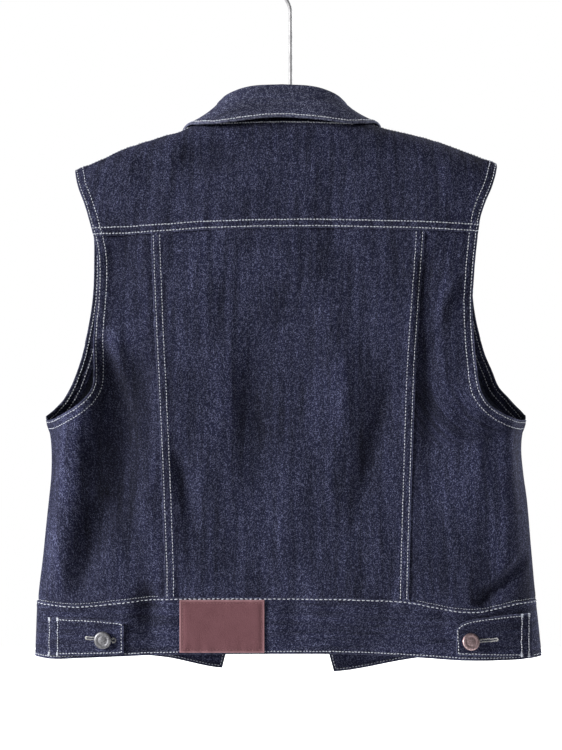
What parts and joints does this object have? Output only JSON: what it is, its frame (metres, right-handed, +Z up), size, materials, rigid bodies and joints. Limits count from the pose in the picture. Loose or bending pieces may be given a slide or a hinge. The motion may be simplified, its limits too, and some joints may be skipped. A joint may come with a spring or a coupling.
{
  "type": "denim vest on a hanger",
  "caption": "Sleeveless denim vest with turned-down collar, yokes, princess seams, waistband and side tabs, open in front, hung on a plain wire-hook hanger.",
  "frame": {"origin": "inside top of the hanger's hook, where it hangs on a rail", "axes": "+Z up, +X to the wearer's left, -Y to the wearer's front"},
  "size_m": [0.5056, 0.0861, 0.7336],
  "materials": {
    "denim": "dark indigo twill, dry and matt, slightly slubby, with pale grey topstitching",
    "thread": "pale grey cotton topstitching thread",
    "leather": "brown-maroon leather patch, matt, blank",
    "grey_button": "worn grey metal shank button",
    "bronze_button": "worn pinkish bronze shank button",
    "hanger_bar": "plain dark matt hanger",
    "hanger_wire": "bright steel wire"
  },
  "bodies": {
    "root": {"back_yoke": "denim", "back_centre_panel": "denim", "back_side_panel_left": "denim", "back_side_panel_right": "denim", "front_yoke_left": "denim", "front_yoke_right": "denim", "front_panel_left": "denim", "front_panel_right": "denim", "placket_left": "denim", "placket_right": "denim", "armhole_facing_left": "denim", "armhole_facing_right": "denim", "waistband": "denim", "collar": "denim", "tab_left": "denim", "tab_right": "denim", "patch": "leather", "tab_button_left": "grey_button", "tab_button_right": "bronze_button", "front_button_1": "grey_button", "front_button_2": "grey_button", "front_button_3": "grey_button", "front_button_4": "grey_button", "front_button_5": "grey_button", "front_button_6": "grey_button", "hanger_bar": "hanger_bar", "hanger_hook": "hanger_wire"}
  },
  "joints": []
}
